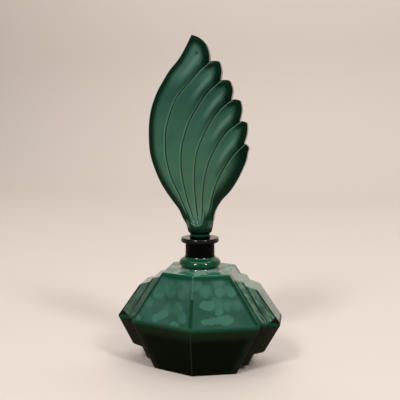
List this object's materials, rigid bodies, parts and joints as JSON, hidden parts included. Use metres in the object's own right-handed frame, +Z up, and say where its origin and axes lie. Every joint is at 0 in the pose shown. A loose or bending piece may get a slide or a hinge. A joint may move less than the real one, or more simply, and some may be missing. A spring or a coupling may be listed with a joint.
{
  "type": "stoppered scent bottle",
  "caption": "Faceted moulded-glass scent bottle with stepped ends, a collared neck and a tall wing-shaped ground stopper that lifts out with its dauber.",
  "frame": {"origin": "centre of the bottle's flat base, on the surface that it stands on", "axes": "+Z up along the neck, +X across the body's width towards the feather tips, +Y towards the back"},
  "size_m": [0.096, 0.0592, 0.19],
  "materials": {
    "moulded_glass": "fire-polished, marbled dark green, opaque",
    "satin_glass": "satin faces with a polished rim, opaque dark green",
    "clear_glass": "polished, clear"
  },
  "bodies": {
    "bottle": {"bottle": "moulded_glass"},
    "dauber": {"dauber": "clear_glass"},
    "stopper": {"stopper": "satin_glass"}
  },
  "joints": [
    {"name": "stopper_lift", "type": "slide", "parent": "bottle", "child": "dauber", "axis": [0, 0, 1], "range_m": [0, 0.058]},
    {"name": "stopper_turn", "type": "hinge", "parent": "dauber", "child": "stopper", "pos_m": [0, 0, 0.0751], "axis": [0, 0, 1], "continuous": true}
  ]
}
